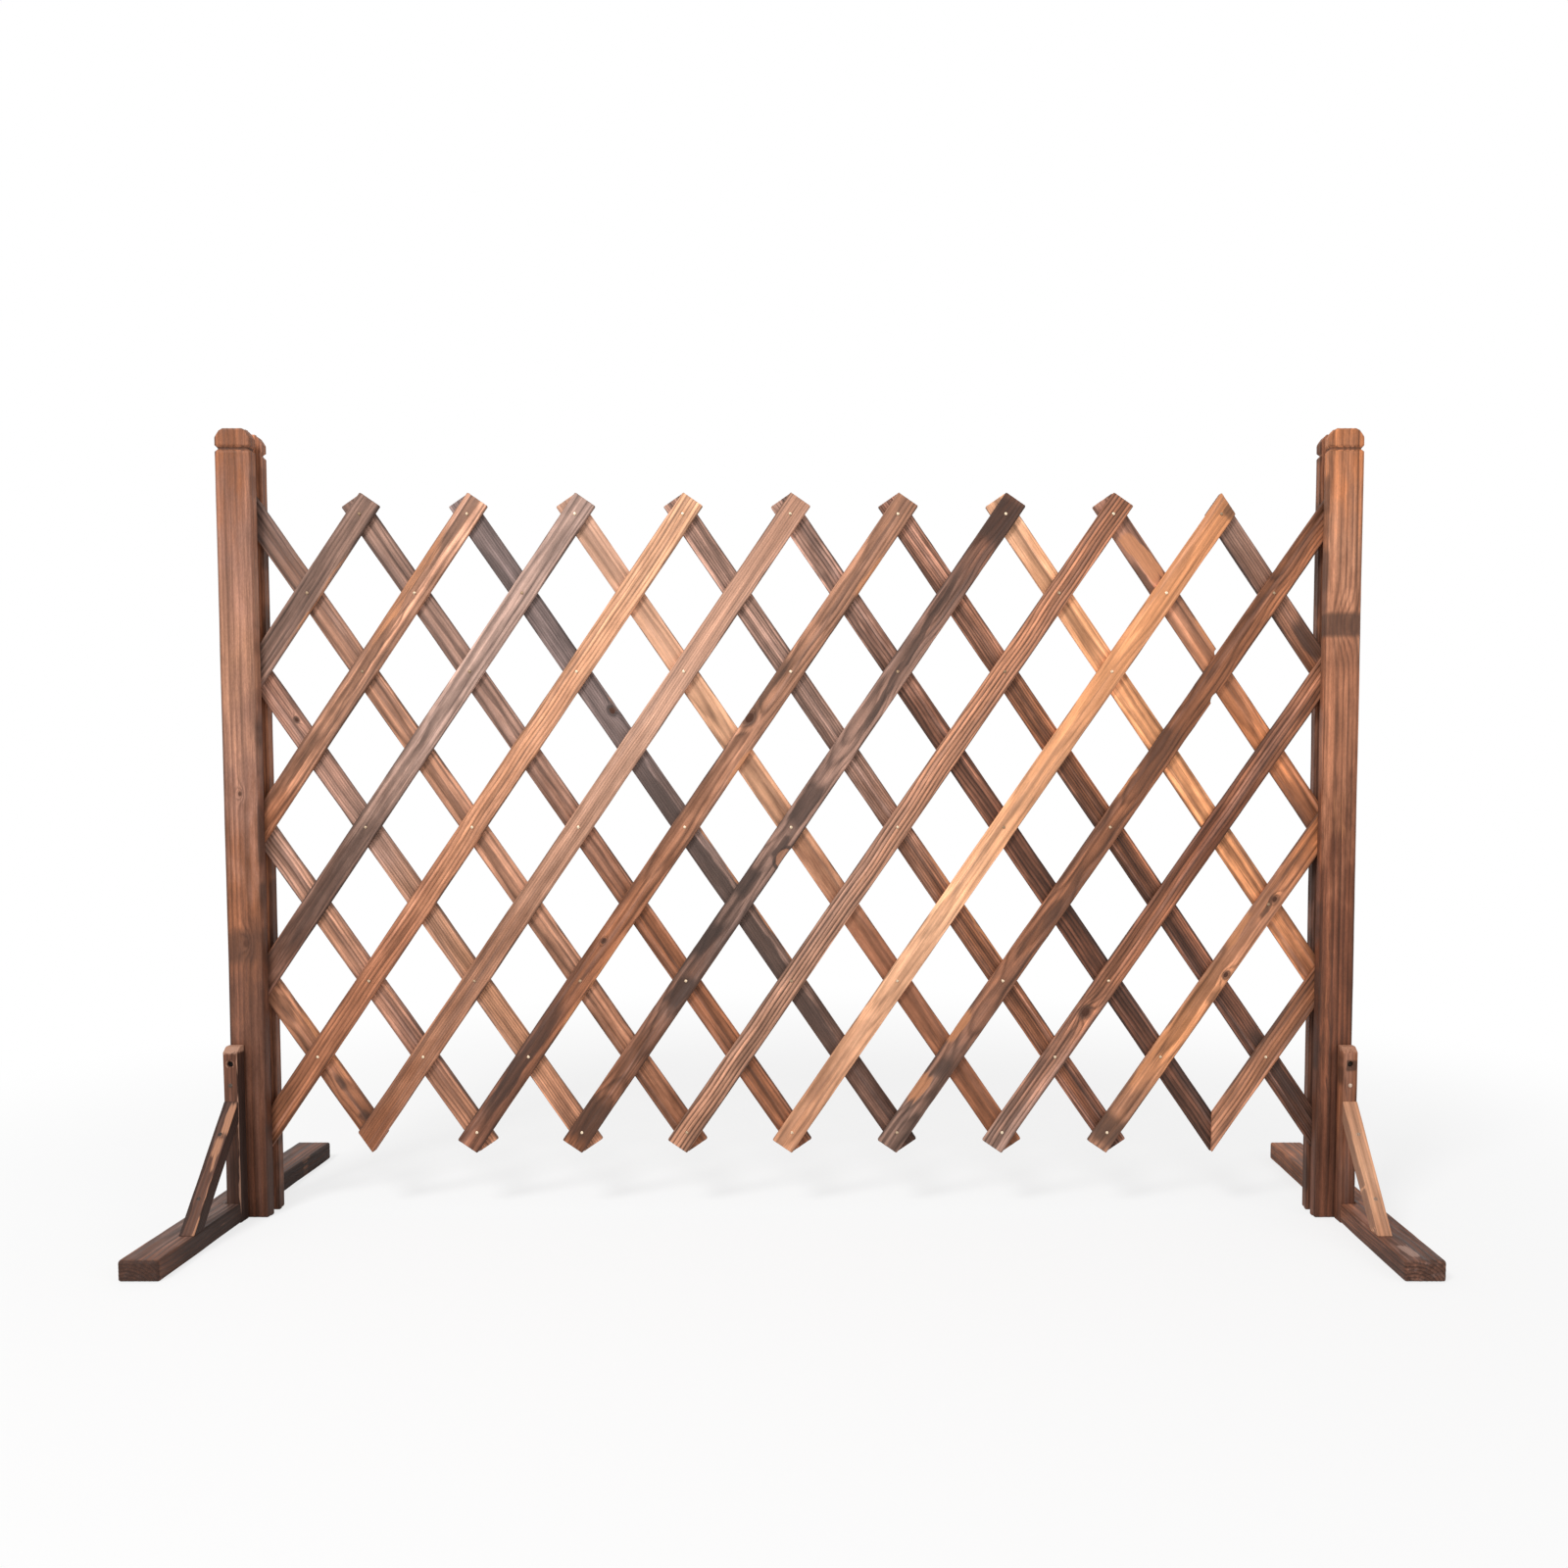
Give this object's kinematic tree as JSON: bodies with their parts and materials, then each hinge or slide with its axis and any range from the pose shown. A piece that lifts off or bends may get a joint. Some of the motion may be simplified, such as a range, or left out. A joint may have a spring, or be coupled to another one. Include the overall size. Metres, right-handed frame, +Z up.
{
  "type": "expandable wooden fence",
  "caption": "Free-standing wooden lattice fence that folds like a scissor between two slotted posts on braced plank feet.",
  "frame": {"origin": "on the floor, halfway between the posts, in the lattice's middle plane", "axes": "+Z up; +X from the left post to the right one, as seen from the front; -Y towards the front, where the braces and the nail heads are"},
  "size_m": [1.4914, 0.46, 1],
  "materials": {
    "lath_wood": "stained and brushed softwood",
    "post_wood": "stained and scorched softwood",
    "foot_wood": "scorched softwood, worn edges",
    "nail_brass": "bright nail heads",
    "dark_steel": "dull screws and nails"
  },
  "bodies": {
    "left_post": {"left_front_board": "post_wood", "left_back_board": "post_wood", "left_spacer": "post_wood", "left_post_pin": "nail_brass", "left_post_nails": "nail_brass", "left_foot_plank": "foot_wood", "left_foot_upright": "foot_wood", "left_foot_brace": "foot_wood", "left_foot_fasteners": "dark_steel"},
    "right_post": {"right_front_board": "post_wood", "right_back_board": "post_wood", "right_spacer": "post_wood", "right_post_pin": "nail_brass", "right_post_nails": "nail_brass", "right_foot_plank": "foot_wood", "right_foot_upright": "foot_wood", "right_foot_brace": "foot_wood", "right_foot_fasteners": "dark_steel"},
    "front_lath_01": {"front_lath_01": "lath_wood", "lath_nails_01": "nail_brass"},
    "back_lath_01": {"back_lath_01": "lath_wood"},
    "front_lath_02": {"front_lath_02": "lath_wood", "lath_nails_02": "nail_brass"},
    "back_lath_02": {"back_lath_02": "lath_wood"},
    "front_lath_03": {"front_lath_03": "lath_wood", "lath_nails_03": "nail_brass"},
    "back_lath_03": {"back_lath_03": "lath_wood"},
    "front_lath_04": {"front_lath_04": "lath_wood", "lath_nails_04": "nail_brass"},
    "back_lath_04": {"back_lath_04": "lath_wood"},
    "front_lath_05": {"front_lath_05": "lath_wood", "lath_nails_05": "nail_brass"},
    "back_lath_05": {"back_lath_05": "lath_wood"},
    "front_lath_06": {"front_lath_06": "lath_wood", "lath_nails_06": "nail_brass"},
    "back_lath_06": {"back_lath_06": "lath_wood"},
    "front_lath_07": {"front_lath_07": "lath_wood", "lath_nails_07": "nail_brass"},
    "back_lath_07": {"back_lath_07": "lath_wood"},
    "front_lath_08": {"front_lath_08": "lath_wood", "lath_nails_08": "nail_brass"},
    "back_lath_08": {"back_lath_08": "lath_wood"},
    "front_lath_09": {"front_lath_09": "lath_wood", "lath_nails_09": "nail_brass"},
    "back_lath_09": {"back_lath_09": "lath_wood"},
    "front_lath_10": {"front_lath_10": "lath_wood", "lath_nails_10": "nail_brass"},
    "back_lath_10": {"back_lath_10": "lath_wood"},
    "front_lath_11": {"front_lath_11": "lath_wood", "lath_nails_11": "nail_brass"},
    "back_lath_11": {"back_lath_11": "lath_wood"},
    "front_lath_12": {"front_lath_12": "lath_wood", "lath_nails_12": "nail_brass"},
    "back_lath_12": {"back_lath_12": "lath_wood"},
    "front_lath_13": {"front_lath_13": "lath_wood", "lath_nails_13": "nail_brass"},
    "back_lath_13": {"back_lath_13": "lath_wood"}
  },
  "joints": [
    {"name": "lattice_opening", "type": "hinge", "parent": "left_post", "child": "front_lath_02", "pos_m": [-0.67969, 0, 0.502], "axis": [0, 1, 0], "range_deg": [-24.5, 10.5]},
    {"name": "back_lath_02_turn", "type": "hinge", "parent": "left_post", "child": "back_lath_02", "pos_m": [-0.67969, 0, 0.502], "axis": [0, 1, 0], "range_deg": [-10.5, 24.5]},
    {"name": "back_lath_04_turn", "type": "hinge", "parent": "front_lath_02", "child": "back_lath_04", "pos_m": [-0.54375, 0, 0.69979], "axis": [0, 1, 0], "range_deg": [-21, 49]},
    {"name": "back_lath_05_turn", "type": "hinge", "parent": "front_lath_02", "child": "back_lath_05", "pos_m": [-0.47578, 0, 0.79869], "axis": [0, 1, 0], "range_deg": [-21, 49]},
    {"name": "back_lath_06_turn", "type": "hinge", "parent": "front_lath_02", "child": "back_lath_06", "pos_m": [-0.40781, 0, 0.89758], "axis": [0, 1, 0], "range_deg": [-21, 49]},
    {"name": "front_lath_04_turn", "type": "hinge", "parent": "back_lath_02", "child": "front_lath_04", "pos_m": [-0.54375, 0, 0.30421], "axis": [0, 1, 0], "range_deg": [-49, 21]},
    {"name": "front_lath_05_turn", "type": "hinge", "parent": "back_lath_02", "child": "front_lath_05", "pos_m": [-0.47578, 0, 0.20531], "axis": [0, 1, 0], "range_deg": [-49, 21]},
    {"name": "front_lath_06_turn", "type": "hinge", "parent": "back_lath_02", "child": "front_lath_06", "pos_m": [-0.40781, 0, 0.10642], "axis": [0, 1, 0], "range_deg": [-49, 21]},
    {"name": "front_lath_01_turn", "type": "hinge", "parent": "back_lath_04", "child": "front_lath_01", "pos_m": [-0.61172, 0, 0.79869], "axis": [0, 1, 0], "range_deg": [-49, 21]},
    {"name": "front_lath_08_turn", "type": "hinge", "parent": "back_lath_04", "child": "front_lath_08", "pos_m": [-0.13594, 0, 0.10642], "axis": [0, 1, 0], "range_deg": [-49, 21]},
    {"name": "front_lath_03_turn", "type": "hinge", "parent": "back_lath_05", "child": "front_lath_03", "pos_m": [-0.40781, 0, 0.69979], "axis": [0, 1, 0], "range_deg": [-49, 21]},
    {"name": "front_lath_07_turn", "type": "hinge", "parent": "back_lath_05", "child": "front_lath_07", "pos_m": [-0.13594, 0, 0.30421], "axis": [0, 1, 0], "range_deg": [-49, 21]},
    {"name": "front_lath_09_turn", "type": "hinge", "parent": "back_lath_05", "child": "front_lath_09", "pos_m": [0, 0, 0.10642], "axis": [0, 1, 0], "range_deg": [-49, 21]},
    {"name": "front_lath_10_turn", "type": "hinge", "parent": "back_lath_06", "child": "front_lath_10", "pos_m": [0.13594, 0, 0.10642], "axis": [0, 1, 0], "range_deg": [-49, 21]},
    {"name": "back_lath_01_turn", "type": "hinge", "parent": "front_lath_04", "child": "back_lath_01", "pos_m": [-0.61172, 0, 0.20531], "axis": [0, 1, 0], "range_deg": [-21, 49]},
    {"name": "back_lath_08_turn", "type": "hinge", "parent": "front_lath_04", "child": "back_lath_08", "pos_m": [-0.13594, 0, 0.89758], "axis": [0, 1, 0], "range_deg": [-21, 49]},
    {"name": "back_lath_03_turn", "type": "hinge", "parent": "front_lath_05", "child": "back_lath_03", "pos_m": [-0.40781, 0, 0.30421], "axis": [0, 1, 0], "range_deg": [-21, 49]},
    {"name": "back_lath_07_turn", "type": "hinge", "parent": "front_lath_05", "child": "back_lath_07", "pos_m": [-0.13594, 0, 0.69979], "axis": [0, 1, 0], "range_deg": [-21, 49]},
    {"name": "back_lath_09_turn", "type": "hinge", "parent": "front_lath_05", "child": "back_lath_09", "pos_m": [0, 0, 0.89758], "axis": [0, 1, 0], "range_deg": [-21, 49]},
    {"name": "back_lath_10_turn", "type": "hinge", "parent": "front_lath_06", "child": "back_lath_10", "pos_m": [0.13594, 0, 0.89758], "axis": [0, 1, 0], "range_deg": [-21, 49]},
    {"name": "back_lath_11_turn", "type": "hinge", "parent": "front_lath_08", "child": "back_lath_11", "pos_m": [0.33984, 0, 0.79869], "axis": [0, 1, 0], "range_deg": [-21, 49]},
    {"name": "back_lath_12_turn", "type": "hinge", "parent": "front_lath_08", "child": "back_lath_12", "pos_m": [0.40781, 0, 0.89758], "axis": [0, 1, 0], "range_deg": [-21, 49]},
    {"name": "back_lath_13_turn", "type": "hinge", "parent": "front_lath_09", "child": "back_lath_13", "pos_m": [0.54375, 0, 0.89758], "axis": [0, 1, 0], "range_deg": [-21, 49]},
    {"name": "front_lath_11_turn", "type": "hinge", "parent": "back_lath_08", "child": "front_lath_11", "pos_m": [0.33984, 0, 0.20531], "axis": [0, 1, 0], "range_deg": [-49, 21]},
    {"name": "front_lath_12_turn", "type": "hinge", "parent": "back_lath_08", "child": "front_lath_12", "pos_m": [0.40781, 0, 0.10642], "axis": [0, 1, 0], "range_deg": [-49, 21]},
    {"name": "front_lath_13_turn", "type": "hinge", "parent": "back_lath_10", "child": "front_lath_13", "pos_m": [0.61172, 0, 0.20531], "axis": [0, 1, 0], "range_deg": [-49, 21]},
    {"name": "right_post_turn", "type": "hinge", "parent": "back_lath_12", "child": "right_post", "pos_m": [0.67969, 0, 0.502], "axis": [0, 1, 0], "range_deg": [-24.5, 10.5]}
  ],
  "couplings": [
    {"joint": "back_lath_02_turn", "follows": "lattice_opening", "ratio": -1},
    {"joint": "back_lath_04_turn", "follows": "lattice_opening", "ratio": -2},
    {"joint": "back_lath_05_turn", "follows": "lattice_opening", "ratio": -2},
    {"joint": "back_lath_06_turn", "follows": "lattice_opening", "ratio": -2},
    {"joint": "front_lath_04_turn", "follows": "lattice_opening", "ratio": 2},
    {"joint": "front_lath_05_turn", "follows": "lattice_opening", "ratio": 2},
    {"joint": "front_lath_06_turn", "follows": "lattice_opening", "ratio": 2},
    {"joint": "front_lath_01_turn", "follows": "lattice_opening", "ratio": 2},
    {"joint": "front_lath_08_turn", "follows": "lattice_opening", "ratio": 2},
    {"joint": "front_lath_03_turn", "follows": "lattice_opening", "ratio": 2},
    {"joint": "front_lath_07_turn", "follows": "lattice_opening", "ratio": 2},
    {"joint": "front_lath_09_turn", "follows": "lattice_opening", "ratio": 2},
    {"joint": "front_lath_10_turn", "follows": "lattice_opening", "ratio": 2},
    {"joint": "back_lath_01_turn", "follows": "lattice_opening", "ratio": -2},
    {"joint": "back_lath_08_turn", "follows": "lattice_opening", "ratio": -2},
    {"joint": "back_lath_03_turn", "follows": "lattice_opening", "ratio": -2},
    {"joint": "back_lath_07_turn", "follows": "lattice_opening", "ratio": -2},
    {"joint": "back_lath_09_turn", "follows": "lattice_opening", "ratio": -2},
    {"joint": "back_lath_10_turn", "follows": "lattice_opening", "ratio": -2},
    {"joint": "back_lath_11_turn", "follows": "lattice_opening", "ratio": -2},
    {"joint": "back_lath_12_turn", "follows": "lattice_opening", "ratio": -2},
    {"joint": "back_lath_13_turn", "follows": "lattice_opening", "ratio": -2},
    {"joint": "front_lath_11_turn", "follows": "lattice_opening", "ratio": 2},
    {"joint": "front_lath_12_turn", "follows": "lattice_opening", "ratio": 2},
    {"joint": "front_lath_13_turn", "follows": "lattice_opening", "ratio": 2},
    {"joint": "right_post_turn", "follows": "lattice_opening", "ratio": 1}
  ]
}
